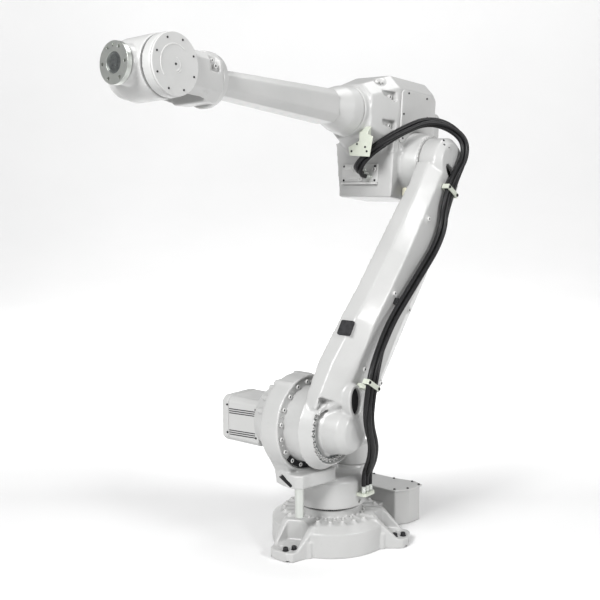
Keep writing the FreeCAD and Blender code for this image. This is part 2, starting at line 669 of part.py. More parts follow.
def elbow_routes():
    to_elbow = ELBOW.inverse().multiply(ARM)
    routes = []
    for step in steps():
        high = arm_ends(step)[0]
        end = [to_elbow.multVec(high + Z * HIGH_CLAMP_RUN_L), to_elbow.multVec(high)]
        routes.append(route_points(ELBOW_ROUTE, step) + end)
    return routes


def cable(points, name):
    """Round cable along straight runs that are joined by arcs as large as the runs allow."""
    edges = []
    radii = []
    start = points[0]
    for before, corner, after in zip(points, points[1:], points[2:]):
        back = before - corner
        on = after - corner
        cut = 0.45 * min(back.Length, on.Length)
        back.normalize()
        on.normalize()
        half_turn = (math.pi - back.getAngle(on)) / 2
        radius = cut / math.tan(half_turn)
        inward = (back + on).normalize()
        middle = corner + inward * (math.hypot(radius, cut) - radius)
        edges.append(Part.LineSegment(start, corner + back * cut).toShape())
        edges.append(Part.Arc(corner + back * cut, middle, corner + on * cut).toShape())
        start = corner + on * cut
        radii.append(round(radius))
    edges.append(Part.LineSegment(start, points[-1]).toShape())
    path = Part.Wire(edges)
    section = Part.Wire([Part.makeCircle(CABLE_R, points[0], points[1] - points[0])])
    solid = path.makePipeShell([section], True, False)
    share = solid.Volume / (math.pi * CABLE_R ** 2 * path.Length)
    print("%s: length %.0f, radii %s, volume share %.4f" % (name, path.Length, radii, share))
    return solid


def write(name, shape, where):
    shape = shape.copy()
    shape.Placement = where.multiply(shape.Placement)
    if not shape.isValid():
        print("not valid:", name)
    if len(shape.Solids) != 1:
        print("solids:", name, len(shape.Solids))
    shape.exportStep("parts/%s.step" % name)


def write_each(name, shapes, where):
    for number, shape in enumerate(shapes, 1):
        write("%s_%d" % (name, number), shape, where)


def write_cables(name, routes, where):
    for number, points in enumerate(routes, 1):
        title = "%s_%d" % (name, number)
        write(title, cable(points, title), where)


def main():
    os.makedirs("parts", exist_ok=True)
    write("base_casting", base_casting(), BASE)
    write("axis_1_bearing_ring", axis_1_bearing_ring(), BASE)
    write_each("foot_screw", foot_screws(), BASE)
    write("connector_box", connector_box(), BASE)
    write("connector_box_lid", connector_box_lid(), BASE)
    write("connector_panel", connector_panel(), BASE)
    write("turret_casting", turret_casting(), TURRET)
    write("axis_1_motor", axis_1_motor(), TURRET)
    write("axis_2_gear_case", axis_2_gear_case(), TURRET)
    write("axis_2_motor", axis_2_motor(), TURRET)
    write("axis_2_motor_cap", axis_2_motor_cap(), TURRET)
    write("stop_pin", stop_pin(), TURRET)
    write("waist_plug_bracket", waist_plug_bracket(), TURRET)
    write_each("waist_plug", waist_plugs(), TURRET)
    write_cables("waist_cable", waist_routes(), TURRET)
    write("lower_arm_casting", lower_arm_casting(), ARM)
    write("bumper", bumper(), ARM)
    write("low_cable_clamp", clamp(LOW_CLAMP_AT, -50), ARM)
    write("high_cable_clamp", clamp(HIGH_CLAMP_AT, -40), ARM)
    write("cable_tie_bracket", cable_tie_bracket(), ARM)
    write_cables("arm_cable", arm_routes(), ARM)
    write("elbow_housing", elbow_housing(), ELBOW)
    write("elbow_side_cover", elbow_side_cover(), ELBOW)
    write("elbow_front_cover", elbow_front_cover(), ELBOW)
    write_each("elbow_plug", elbow_plugs(), ELBOW)
    write("cable_bracket", cable_bracket(), ELBOW)
    write("axis_3_motor", axis_3_motor(), ELBOW)
    write("axis_4_motor", axis_4_motor(), ELBOW)
    write_cables("elbow_cable", elbow_routes(), ELBOW)
    write("forearm_tube", forearm_tube(), FOREARM)
    write("wrist_housing", wrist_housing(), FOREARM)
    write_each("wrist_side_cover", wrist_side_covers(), FOREARM)
    write("wrist_unit", wrist_unit(), WRIST)
    write("tool_flange", tool_flange(), WRIST)


main()
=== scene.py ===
import math

import bmesh
import bpy
from mathutils import Matrix, Vector


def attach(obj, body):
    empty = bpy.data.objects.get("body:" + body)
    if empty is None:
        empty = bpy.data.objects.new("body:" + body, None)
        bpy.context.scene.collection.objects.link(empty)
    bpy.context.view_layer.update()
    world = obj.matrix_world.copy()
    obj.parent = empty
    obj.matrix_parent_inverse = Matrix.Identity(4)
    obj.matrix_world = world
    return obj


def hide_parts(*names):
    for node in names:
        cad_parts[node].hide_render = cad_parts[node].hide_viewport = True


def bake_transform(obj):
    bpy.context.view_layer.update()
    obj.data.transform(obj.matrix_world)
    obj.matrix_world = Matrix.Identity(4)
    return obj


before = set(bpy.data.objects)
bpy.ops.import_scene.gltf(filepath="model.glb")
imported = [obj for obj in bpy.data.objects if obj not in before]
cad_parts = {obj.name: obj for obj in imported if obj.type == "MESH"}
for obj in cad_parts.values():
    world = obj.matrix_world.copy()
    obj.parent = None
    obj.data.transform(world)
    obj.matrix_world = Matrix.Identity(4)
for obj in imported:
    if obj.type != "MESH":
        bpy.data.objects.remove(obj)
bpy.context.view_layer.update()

X = Vector((1, 0, 0))
Y = Vector((0, 1, 0))
Z = Vector((0, 0, 1))


def turn(axis, degrees):
    return Matrix.Rotation(math.radians(degrees), 4, axis)


# Joint places in metres and rest angles in degrees, as in the part's source
MM = 0.001
AXIS_2_AT = (0.175, 0, 0.495)
ARM_LENGTH = 1.095
ELBOW_RISE = 0.175
FOREARM_REACH = 1.27
REST_LEAN_2 = -30.4
REST_BEND_3 = 26.2
REST_ROLL_4 = 2.1
REST_BEND_5 = 2.0

# Each body's own frame. Points are in millimetres in these frames.
BASE = Matrix.Identity(4)
TURRET = Matrix.Identity(4)
ARM = Matrix.Translation(AXIS_2_AT) @ turn("Y", REST_LEAN_2)
ELBOW = ARM @ Matrix.Translation((0, 0, ARM_LENGTH)) @ turn("Y", REST_BEND_3)
FOREARM = ELBOW @ Matrix.Translation((0, 0, ELBOW_RISE)) @ turn("X", REST_ROLL_4)
WRIST = FOREARM @ Matrix.Translation((FOREARM_REACH, 0, 0)) @ turn("Y", REST_BEND_5)


# ---------------------------------------------------------------- materials
def node(tree, kind, **inputs):
    made = tree.nodes.new(kind)
    for name, value in inputs.items():
        made.inputs[name.replace("_", " ")].default_value = value
    return made


def noise(tree, scale, detail, rough=0.5):
    place = tree.nodes.get("Texture Coordinate") or tree.nodes.new("ShaderNodeTexCoord")
    made = node(tree, "ShaderNodeTexNoise", Scale=scale, Detail=detail, Roughness=rough)
    tree.links.new(place.outputs["Object"], made.inputs["Vector"])
    return made.outputs["Fac"]


def spread(tree, value, low, high, start=0.3, end=0.7):
    """Maps a noise value to a range."""
    made = node(tree, "ShaderNodeMapRange")
    for name, number in (("From Min", start), ("From Max", end), ("To Min", low), ("To Max", high)):
        made.inputs[name].default_value = number
    tree.links.new(value, made.inputs["Value"])
    return made.outputs["Result"]


def mix(tree, factor, one, two):
    made = tree.nodes.new("ShaderNodeMix")
    made.data_type = "RGBA"
    tree.links.new(factor, made.inputs["Factor"])
    for socket, value in (("A", one), ("B", two)):
        target = [i for i in made.inputs if i.name == socket and i.type == "RGBA"][0]
        if isinstance(value, tuple):
            target.default_value = (*value, 1)
        else:
            tree.links.new(value, target)
    return [o for o in made.outputs if o.type == "RGBA"][0]


def bump(tree, height, strength, distance, under=None):
    made = node(tree, "ShaderNodeBump", Strength=strength, Distance=distance)
    tree.links.new(height, made.inputs["Height"])
    if under is not None:
        tree.links.new(under, made.inputs["Normal"])
    return made.outputs["Normal"]


def worn_and_highlit_edge_mask(tree, start, end):
    """Edges, from how far a point sticks out: worn paint, and a painted highlight."""
    shape = tree.nodes.new("ShaderNodeNewGeometry")
    return spread(tree, shape.outputs["Pointiness"], 0, 1, start, end)


def finish_material(material, colour, roughness, normal, **sockets):
    tree = material.node_tree
    shader = tree.nodes["Principled BSDF"]
    for socket, value in (("Base Color", colour), ("Roughness", roughness), ("Normal", normal)):
        tree.links.new(value, shader.inputs[socket])
    for socket, value in sockets.items():
        shader.inputs[socket.replace("_", " ")].default_value = value
    return material


def new_material(name):
    material = bpy.data.materials.new(name)
    material.use_nodes = True
    return material, material.node_tree


def paint(name, light, dark, edge, rough=(0.32, 0.44)):
    """Satin paint over a casting: soft mottling, edges lighter for thin worn paint and as a painted highlight,
    fine orange peel.
    """
    material, tree = new_material(name)
    mottled = mix(tree, spread(tree, noise(tree, 5.5, 5), 0, 1), dark, light)
    specks = spread(tree, noise(tree, 95, 3, 0.7), 0, 0.22, 0.62, 0.78)
    soiled = mix(tree, specks, mottled, tuple(c * 0.72 for c in dark))
    # edges lighter: worn paint, and a painted highlight along every edge
    colour = mix(tree, worn_and_highlit_edge_mask(tree, 0.52, 0.6), soiled, edge)
    cast = bump(tree, noise(tree, 70, 4, 0.6), 0.16, 0.0012)
    peel = bump(tree, noise(tree, 900, 2), 0.05, 0.0002, cast)
    return finish_material(material, colour, spread(tree, noise(tree, 26, 4), *rough), peel,
                           Coat_Weight=0.25, Coat_Roughness=0.2, IOR=1.47)


def metal(name, light, dark, rough, metallic, grain, depth=0.0002):
    """Turned or plated steel with fine grain."""
    material, tree = new_material(name)
    spangle = mix(tree, spread(tree, noise(tree, grain, 3, 0.6), 0, 1), dark, light)
    # steel lighter on its edges: wear, and a painted highlight
    colour = mix(tree, worn_and_highlit_edge_mask(tree, 0.53, 0.62), spangle, tuple(min(1, c * 1.25) for c in light))
    return finish_material(material, colour, spread(tree, noise(tree, grain * 1.7, 3), *rough),
                           bump(tree, noise(tree, grain * 5, 2), 0.12, depth), Metallic=metallic)


def rubber(name, light, dark, rough, grain, strength):
    material, tree = new_material(name)
    colour = mix(tree, spread(tree, noise(tree, grain * 0.1, 4), 0, 1), dark, light)
    return finish_material(material, colour, spread(tree, noise(tree, grain * 0.4, 3), *rough),
                           bump(tree, noise(tree, grain, 3), strength, 0.0004), Specular_IOR_Level=0.3)


PAINT = paint("painted_casting", (0.46, 0.46, 0.455), (0.415, 0.417, 0.412), (0.55, 0.55, 0.54))
PAINT_LIGHT = paint("painted_sheet", (0.51, 0.51, 0.505), (0.46, 0.462, 0.456), (0.6, 0.6, 0.59),
                    (0.3, 0.42))
BLACK_STEEL = metal("black_steel", (0.035, 0.035, 0.037), (0.015, 0.015, 0.016), (0.32, 0.5), 0.7, 160)
STEEL = metal("bare_steel", (0.62, 0.64, 0.61), (0.58, 0.6, 0.57), (0.28, 0.33), 0.95, 14, 0.000005)
PLATED = metal("plated_bracket", (0.6, 0.63, 0.55), (0.56, 0.59, 0.51), (0.3, 0.42), 0.35, 60, 0.00005)
RUBBER = rubber("black_rubber", (0.03, 0.03, 0.032), (0.012, 0.012, 0.013), (0.5, 0.68), 700, 0.3)
JACKET = rubber("cable_jacket", (0.009, 0.009, 0.01), (0.005, 0.005, 0.0055), (0.36, 0.52), 420, 0.2)
# painted shade: dull black set in slots, openings, gaps and screw sockets, where there is only shade
SHADE_BLACK = rubber("painted_shade_black", (0.014, 0.014, 0.015), (0.006, 0.006, 0.007), (0.7, 0.85), 300, 0.2)
# dark steel: the tool flange's bore, and painted shade on the floor of the hub groove
DARK_STEEL_AND_SHADE = metal("dark_steel_and_shade", (0.2, 0.21, 0.21), (0.12, 0.13, 0.13), (0.25, 0.4), 0.9, 90)
CREAM = paint("cream_plastic", (0.72, 0.7, 0.55), (0.64, 0.62, 0.48), (0.78, 0.76, 0.62))


# ---------------------------------------------------------------- shapes, drawn in millimetres
def turned(bm, profile, at=(0, 0, 0), along=Z, sides=32):
    """Lathe of (distance, radius) pairs along a line. A third value of 6 makes that ring a hexagon."""
    place = Matrix.Translation(Vector(at)) @ Z.rotation_difference(Vector(along)).to_matrix().to_4x4()
    rings = []
    for distance, radius, *hexed in profile:
        if radius == 0:
            rings.append([bm.verts.new(place @ Vector((0, 0, distance)))])
            continue
        ring = []
        for i in range(sides):
            angle = 2 * math.pi * i / sides
            r = radius
            if hexed:
                r = radius * math.cos(math.pi / 6) / math.cos(angle % (math.pi / 3) - math.pi / 6)
            ring.append(bm.verts.new(place @ Vector((r * math.cos(angle), r * math.sin(angle), distance))))
        rings.append(ring)
    for low, high in zip(rings, rings[1:]):
        for i in range(sides):
            j = (i + 1) % sides
            corners = [low[i % len(low)], low[j % len(low)], high[j % len(high)], high[i % len(high)]]
            bm.faces.new(list(dict.fromkeys(corners)))


def prism(bm, points, push):
    """Closed outline pushed along a direction."""
    low = [bm.verts.new(Vector(p)) for p in points]
    high = [bm.verts.new(Vector(p) + Vector(push)) for p in points]
    bm.faces.new(low)
    bm.faces.new(high)
    for i in range(len(low)):
        j = (i + 1) % len(low)
        bm.faces.new((low[i], low[j], high[j], high[i]))


def block(bm, x, y, z):
    """Box from pairs of limits."""
    prism(bm, [(x[0], y[0], z[0]), (x[1], y[0], z[0]), (x[1], y[1], z[0]), (x[0], y[1], z[0])],
          (0, 0, z[1] - z[0]))


def oval(at, half_x, half_z, lean, sides=36):
    """Ellipse of points in a plane across Y, leaning by an angle."""
    points = []
    for i in range(sides):
        a = 2 * math.pi * i / sides
        x, z = half_x * math.cos(a), half_z * math.sin(a)
        c, s = math.cos(math.radians(lean)), math.sin(math.radians(lean))
        points.append((at[0] + x * c + z * s, at[1], at[2] - x * s + z * c))
    return points


def socket_screw(bm, at, along, r, h):
    """Cap screw head with a chamfer and a hexagon socket."""
    turned(bm, [(0, 0), (0, r), (h * 0.82, r), (h, r * 0.86), (h, r * 0.55), (h * 0.92, r * 0.5, 6),
                (h * 0.35, r * 0.5, 6), (h * 0.3, 0)], at, along, 24)


def hexagon_screw(bm, at, along, r, h):
    """Hexagon head on a washer."""
    turned(bm, [(0, 0), (0, r), (h * 0.22, r), (h * 0.22, r * 0.84, 6), (h * 0.86, r * 0.84, 6),
                (h, r * 0.66), (h, 0)], at, along, 24)


def around(axis_point, along, radius, angles, lift):
    """Points on a circle about an axis along X, Y or Z, at angles from the next axis."""
    first, second = {"X": (Y, Z), "Y": (X, Z), "Z": (X, Y)}[along]
    axis = {"X": X, "Y": Y, "Z": Z}[along]
    for angle in angles:
        a = math.radians(angle)
        yield Vector(axis_point) + first * radius * math.cos(a) + second * radius * math.sin(a) + axis * lift


# ---------------------------------------------------------------- pieces
DRAWN_ANGLE = 40            # edges sharper than this are rounded, in degrees
MACHINED_ANGLE = 30


def smooth_all(obj):
    for face in obj.data.polygons:
        face.use_smooth = True


def smooth(obj, degrees):
    """Smooth shading, sharp where faces meet at more than an angle."""
    smooth_all(obj)
    obj.data.set_sharp_from_angle(angle=math.radians(degrees))


def applied(obj, name):
    """The object's mesh with its modifiers, as a new object."""
    graph = bpy.context.evaluated_depsgraph_get()
    mesh = bpy.data.meshes.new_from_object(obj.evaluated_get(graph), depsgraph=graph)
    mesh.name = name
    made = bpy.data.objects.new(name, mesh)
    bpy.context.scene.collection.objects.link(made)
    bpy.data.objects.remove(obj)
    return made


def object_of(bm, name):
    """Object in metres from a shape drawn in millimetres."""
    bmesh.ops.recalc_face_normals(bm, faces=bm.faces)
    bm.transform(Matrix.Scale(MM, 4))
    mesh = bpy.data.meshes.new(name)
    bm.to_mesh(mesh)
    bm.free()
    obj = bpy.data.objects.new(name, mesh)
    bpy.context.scene.collection.objects.link(obj)
    return obj


def settle(obj, place, body, material, replaced=()):
    """Puts a finished piece in its place on a body, with its finish."""
    obj.data.transform(place)
    obj.data.materials.clear()
    obj.data.materials.append(material)
    if replaced:
        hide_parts(*replaced)
    if body:
        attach(obj, body)
    return obj


def weighted(obj):
    """Flat faces keep flat shading beside rounded edges."""
    last = obj.modifiers.new("normals", "WEIGHTED_NORMAL")
    last.weight = 80
    last.keep_sharp = True


def round_edges(obj, width, segments, degrees):
    edge = obj.modifiers.new("edges", "BEVEL")
    edge.width = width * MM
    edge.segments = segments
    edge.limit_method = "ANGLE"
    edge.angle_limit = math.radians(degrees)
    edge.harden_normals = True


def made_piece(name, draw, place, body, material, replaced=(), bevel=0.8):
    """Piece drawn in code, with small rounded edges."""
    bm = bmesh.new()
    draw(bm)
    obj = object_of(bm, name + "_raw")
    smooth(obj, DRAWN_ANGLE)
    if bevel:
        round_edges(obj, bevel, 2, DRAWN_ANGLE)
    weighted(obj)
    return settle(applied(obj, name), place, body, material, replaced)


def cad_copy(name, place):
    """The CAD node's faces as one closed mesh, in its own frame in millimetres."""
    bm = bmesh.new()
    bm.from_mesh(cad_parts[name].data)
    bm.transform(Matrix.Scale(1000, 4) @ place.inverted())
    bmesh.ops.remove_doubles(bm, verts=bm.verts, dist=0.02)
    return bm


def remesh(obj, name, voxel):
    step = obj.modifiers.new(name, "REMESH")
    step.mode = "VOXEL"
    step.voxel_size = voxel * MM


def casting(name, node_name, place, body, add, cut, voxel, rounds, keep):
    """The CAD shape with its bosses and ribs grown into it and every edge rounded as in a casting.

    The grid is voxel millimetres, rounds of smoothing follow, and a share of the faces is kept.
    """
    bm = cad_copy(node_name, place)
    if add:
        add(bm)
    obj = object_of(bm, name + "_raw")
    remesh(obj, "join", voxel)
    cutter = None
    if cut:
        bm = bmesh.new()
        cut(bm)
        cutter = object_of(bm, name + "_cutter")
        carve = obj.modifiers.new("carve", "BOOLEAN")
        carve.operation = "DIFFERENCE"
        carve.solver = "MANIFOLD"
        carve.object = cutter
        remesh(obj, "again", voxel)
    soften = obj.modifiers.new("soften", "SMOOTH")
    soften.factor = 0.5
    soften.iterations = rounds
    fewer = obj.modifiers.new("fewer", "DECIMATE")
    fewer.ratio = keep
    weighted(obj)
    made = applied(obj, name)
    if cutter:
        bpy.data.objects.remove(cutter)
    smooth_all(made)
    return settle(made, place, body, PAINT, [node_name])


def machined(name, node_name, place, body, material, bevel, change=None):
    """The CAD shape with small rounded edges."""
    bm = cad_copy(node_name, place)
    bmesh.ops.dissolve_limit(bm, angle_limit=math.radians(1), verts=bm.verts, edges=bm.edges)
    if change:
        change(bm)
    obj = object_of(bm, name + "_raw")
    smooth(obj, MACHINED_ANGLE)
    round_edges(obj, bevel, 3, MACHINED_ANGLE + 2)
    weighted(obj)
    return settle(applied(obj, name), place, body, material, [node_name])


def screws(name, place, body, material, heads):
    """One piece of many screw heads: (kind, point, direction, radius, height).

    Painted ones get a second piece: painted shade, dark fills in their sockets.
    """
    def draw(bm):
        for kind, at, along, r, h in heads:
            kind(bm, at, along, r, h)

    # painted shade: a dark fill inside each socket
    def draw_socket_shades(bm):
        for _, at, along, r, h in heads:
            turned(bm, [(h * 0.3, 0), (h * 0.3, r * 0.5, 6), (h * 0.6, r * 0.5, 6), (h * 0.6, 0)],
                   at, along, 6)

    if material is PAINT_LIGHT:
        made_piece(name + "_socket_shades", draw_socket_shades, place, body, SHADE_BLACK, bevel=0)
    return made_piece(name, draw, place, body, material, bevel=0)


# ---------------------------------------------------------------- cables
CABLE_R = 8.5
BUNCHED = 0.56              # share of the spread that is left where the cables run close together
MIDDLE_LIFT = 14            # how far the middle cable lies on top of the other two
CLAMP_RUN = 60              # straight run out of the high clamp
WAIST_ROUTE = (((172, 302, 530), (15, -13, 0)), ((114, 284, 442), (13, -15, 0)),
               ((62, 240, 368), (13, -15, 0)), ((14, 192, 318), (15, -13, 0)),
               ((-18, 160, 280), (20, 0, 0)), ((-18, 160, 236), (20, 0, 0)))
ARM_ROUTE = (((-52, 306, 850), (20, 0, 0)), ((-50, 302, 755), (19, 0, 3)), ((-24, 299, 668), (19, 0, 6)),
             ((6, 297, 580), (18, 0, 7)), ((38, 297, 490), (18, 0, 7)), ((70, 299, 405), (18, 0, 5)),
             ((92, 305, 318), (20, 0, 0)))
ELBOW_ROUTE = (((198, 20, -50), (0, 15, -13)), ((230, 20, -50), (0, 15, -13)),
               ((254, 44, -22), (1, 14, -13)), ((247, 90, 26), (0, 14, -13)),
               ((212, 128, 66), (-8, 6, -16)), ((146, 162, 112), (-10, -2, -16)),
               ((64, 208, 156), (-6, -3, -18)), ((-10, 262, 146), (6, -4, -18)),
               ((-58, 312, 92), (17, 0, -9)), ((-46, 318, 12), (20, 0, 2)))
LOW_CLAMP_AT, LOW_CLAMP_STEP = Vector((100, 325, 150)), Vector((20, 0, -6.5))
HIGH_CLAMP_AT, HIGH_CLAMP_STEP = Vector((-20, 312, 984)), Vector((20, 0, 0))
LOW_CLAMP_RUN = Vector((-0.323, -0.03, -0.946))
OUTWARDS = Vector((1, 1, 0.4))
ROUTES = {"waist": (WAIST_ROUTE, TURRET), "arm": (ARM_ROUTE, ARM), "elbow": (ELBOW_ROUTE, ELBOW)}


def in_row(place, point):
    return place @ (Vector(point) / 1000)


def bunched(route, number, step):
    """Point of a route with its three cables drawn together, the middle one on top."""
    at, beside = (Vector(v) for v in route[number])
    after = Vector(route[min(number + 1, len(route) - 1)][0])
    before = Vector(route[max(number - 1, 0)][0])
    out = (after - before).cross(beside).normalized()
    out *= MIDDLE_LIFT if out.dot(OUTWARDS) > 0 else -MIDDLE_LIFT
    at += out * (1 - abs(step))
    return at + beside * BUNCHED * step


def cable_points(which, step):
    """Points of one cable of a run, in the row's frame. The two points at its plug keep their spread."""
    low, high = LOW_CLAMP_AT + LOW_CLAMP_STEP * step, HIGH_CLAMP_AT + HIGH_CLAMP_STEP * step
    route, place = ROUTES[which]
    middle = []
    for number, (at, beside) in enumerate(route):
        held = (which == "waist" and number > len(route) - 3) or (which == "elbow" and number < 2)
        point = Vector(at) + Vector(beside) * step if held else bunched(route, number, step)
        middle.append(in_row(place, point))
    if which == "waist":
        return [in_row(ARM, low), in_row(ARM, low + LOW_CLAMP_RUN * 70)] + middle
    if which == "arm":
        return [in_row(ARM, high), in_row(ARM, high - Z * CLAMP_RUN)] + middle + [
            in_row(ARM, low - LOW_CLAMP_RUN * 50), in_row(ARM, low)]
    return middle + [in_row(ARM, high + Z * CLAMP_RUN), in_row(ARM, high)]


def cable(which, number):
    """One cable as a smooth tube along its spline."""
    name = "%s_cable_%d" % (which, number)
    points = cable_points(which, number - 2)
    curve = bpy.data.curves.new(name + "_line", "CURVE")
    curve.dimensions = "3D"
    curve.resolution_u = 14
    spline = curve.splines.new("NURBS")
    spline.points.add(len(points) - 1)
    for target, point in zip(spline.points, points):
        target.co = (*point, 1)
    spline.order_u = 3
    spline.use_endpoint_u = True
    line = bpy.data.objects.new(name + "_line", curve)
    bpy.context.scene.collection.objects.link(line)
    graph = bpy.context.evaluated_depsgraph_get()
    bare = bpy.data.meshes.new_from_object(line.evaluated_get(graph), depsgraph=graph)
    curve.bevel_depth = CABLE_R / 1000
    curve.bevel_resolution = 5
    curve.use_fill_caps = True
    tube = applied(line, name + "_jacket")
    smooth_all(tube)
    settle(tube, Matrix.Identity(4), "lower_arm" if which == "arm" else None, JACKET, [name])
    if which == "waist":
        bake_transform(tube)
    if which == "elbow":
        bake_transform(tube)
    return tube


# ---------------------------------------------------------------- camera, light and floor
CAMERA_AT = Vector((2.811, 2.175, 1.369))
CAMERA_YAW = 1.828          # degrees, away from the first axis
CAMERA_PITCH = -7.065
CAMERA_ROLL = -0.304
SENSOR_WIDTH = 36
LENS = 948.6 * SENSOR_WIDTH / 600
AIM = (0.1, 0, 0.9)         # the middle of the robot
FLOOR_BELOW = -0.5          # millimetres
FLOOR_R = 7000
COVE_R = 6000
COVE_RISE = 4800
COVE_STEPS = 10


def add_camera():
    aim = turn("Z", CAMERA_YAW) @ Vector((-CAMERA_AT.x, -CAMERA_AT.y, 0)).normalized()
    pitch, roll = math.radians(CAMERA_PITCH), math.radians(CAMERA_ROLL)
    forward = aim * math.cos(pitch) + Z * math.sin(pitch)
    up = Z * math.cos(pitch) - aim * math.sin(pitch)
    side = aim.cross(Z)
    right = side * math.cos(roll) + up * math.sin(roll)
    top = up * math.cos(roll) - side * math.sin(roll)
    data = bpy.data.cameras.new("camera")
    data.lens = LENS
    data.sensor_width = SENSOR_WIDTH
    data.clip_end = 60
    camera = bpy.data.objects.new("camera", data)
    bpy.context.scene.collection.objects.link(camera)
    camera.matrix_world = Matrix.Translation(CAMERA_AT) @ Matrix((right, top, -forward)).transposed().to_4x4()
    bpy.context.scene.camera = camera


def area_light(name, at, target, size, power):
    data = bpy.data.lights.new(name, "AREA")
    data.shape = "DISK"
    data.size = size
    data.energy = power
    lamp = bpy.data.objects.new(name, data)
    bpy.context.scene.collection.objects.link(lamp)
    lamp.location = at
    lamp.rotation_mode = "QUATERNION"
    lamp.rotation_quaternion = (Vector(target) - Vector(at)).to_track_quat("-Z", "Y")


def add_studio():
    world = bpy.data.worlds.new("studio")
    bpy.context.scene.world = world
    world.use_nodes = True
    shade = world.node_tree.nodes["Background"]
    shade.inputs["Color"].default_value = (1, 1, 1, 1)
    shade.inputs["Strength"].default_value = 0.3
    area_light("key", (4.0, 0.5, 3.4), AIM, 1.6, 235)
    area_light("side", (0.3, 4.6, 2.9), AIM, 1.6, 125)
    area_light("backdrop", (-1.5, -1.2, 4.8), (-10, -8, 1.5), 3.2, 750)
    area_light("top", (-1.4, 0.4, 4.6), AIM, 2.0, 50)
    floor = made_floor()
    bpy.context.scene.view_settings.view_transform = "Standard"


def made_floor():
    """Pale floor that runs up into the distance."""
    bm = bmesh.new()
    profile = [(FLOOR_BELOW, 0), (FLOOR_BELOW, 3000), (FLOOR_BELOW, FLOOR_R)]
    for number in range(1, COVE_STEPS + 1):
        angle = number * math.pi / (2 * COVE_STEPS)
        profile.append((COVE_RISE * (1 - math.cos(angle)), FLOOR_R + COVE_R * math.sin(angle)))
    turned(bm, profile, sides=64)
    obj = object_of(bm, "floor")
    if obj.data.polygons[0].normal.z < 0:
        obj.data.flip_normals()
    smooth_all(obj)
    paper, tree = new_material("floor_paper")
    colour = mix(tree, spread(tree, noise(tree, 0.4, 3), 0, 1), (0.82, 0.82, 0.82), (0.85, 0.85, 0.85))
    finish_material(paper, colour, spread(tree, noise(tree, 3, 2), 0.6, 0.8),
                    bump(tree, noise(tree, 60, 2), 0.02, 0.001))
    obj.data.materials.append(paper)
    return obj


# ---------------------------------------------------------------- base
FOOT_ANGLES = (0, 115, -115)
FOOT_SIDES = (1, -1, 1)     # which side of each foot has the screws
FOOT_SCREWS_AT = ((286, 15), (257, 31))
RIB_COUNT = 24
RIB_TO_FOOT = 19            # least angle between a rib and the middle of a foot
BOX_SCREWS = ((-262, 122), (-306, 156), (-376, 164), (-392, 122), (-380, 40), (-380, -60), (-368, -116),
              (-306, -117), (-262, -96))


def off_feet(angle):
    return all(abs((angle - foot + 180) % 360 - 180) > RIB_TO_FOOT for foot in FOOT_ANGLES)


def polar(radius, angle, z, aside=0.0):
    """Point at a radius and angle about the first axis, moved sideways."""
    a = math.radians(angle)
    return Vector((radius * math.cos(a) - aside * math.sin(a),
                   radius * math.sin(a) + aside * math.cos(a), z))


def rib_angles():
    """Angles halfway between the hub's screws, where no foot is in the way."""
    angles = [(i + 0.5) * 360 / RIB_COUNT for i in range(RIB_COUNT)]
    return [angle for angle in angles if off_feet(angle)]


def add_to_base(bm):
    for angle in rib_angles():
        prism(bm, [polar(126, angle, 108, -3.5), polar(184, angle, 108, -7), polar(184, angle, 108, 7),
                   polar(126, angle, 108, 3.5)], (0, 0, 12))
        turned(bm, [(100, 0), (100, 10), (123, 9), (123, 0)], polar(176, angle, 0), Z, 20)
    for angle in FOOT_ANGLES:
        for aside in (-70, 70):
            turned(bm, [(0, 0), (0, 13), (60, 11), (60, 0)], polar(216, angle, 0, aside), Z, 20)


def cut_base(bm):
    for angle in FOOT_ANGLES:
        for aside in (-36, 36):
            turned(bm, [(0, 0), (0, 9), (40, 9), (40, 0)], polar(276, angle, -2, aside),
                   polar(1, angle, 0), 20)


def draw_neck_gap(bm):
    """Dark toothed ring in the gap under the turning neck."""
    prism(bm, [polar(119 if i % 2 else 114, i * 2, 146.3) for i in range(180)], (0, 0, 7))


def base_pieces():
    casting("base_body", "base_casting", BASE, "base", add_to_base, cut_base, 3.5, 2, 0.34)
    made_piece("neck_seal_ring", draw_neck_gap, BASE, "base", BLACK_STEEL, ["axis_1_bearing_ring"], 0)
    heads = [(socket_screw, polar(176, a, 122.5), Z, 6, 4.5) for a in rib_angles()]
    heads += [(hexagon_screw, polar(129.5, i * 360 / RIB_COUNT, 113), Z, 6.5, 9) for i in range(RIB_COUNT)]
    screws("drum_screws", BASE, "base", PAINT_LIGHT, heads)
    feet = []
    for angle, side in zip(FOOT_ANGLES, FOOT_SIDES):
        for out, aside in FOOT_SCREWS_AT:
            feet.append((hexagon_screw, polar(out, angle, 35.5, side * aside), Z, 12, 3))
            feet.append((socket_screw, polar(out, angle, 38, side * aside), Z, 9.5, 11))
    foot_set = screws("foot_screws", BASE, "base", BLACK_STEEL, feet)
    foot_set.name = "foot_screw_set"
    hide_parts(*["foot_screw_%d" % n for n in range(1, 7)])
    box_pieces()


def box_pieces():
    machined("connector_box_body", "connector_box", BASE, "base", PAINT, 5)
    machined("connector_box_cover", "connector_box_lid", BASE, "base", PAINT_LIGHT, 2.5)
    machined("connector_plate", "connector_panel", BASE, "base", STEEL, 0.8)
    screws("box_lid_screws", BASE, "base", BLACK_STEEL,
           [(socket_screw, (x, y, 146), Z, 5, 4) for x, y in BOX_SCREWS])


# ---------------------------------------------------------------- turret
AXIS_2 = (175, 0, 495)
RING_FLOOR_Y = 28.5         # just above the ring's recess
MOTOR_SIDE_X = 262.5
MOTOR_1_AT = (-92, 34, 0)
WAIST_PLUG_AT = (-18, 160, 210)
LUG_SLOT = ((-22, 305), (-8, 310), (40, 284), (32, 275))


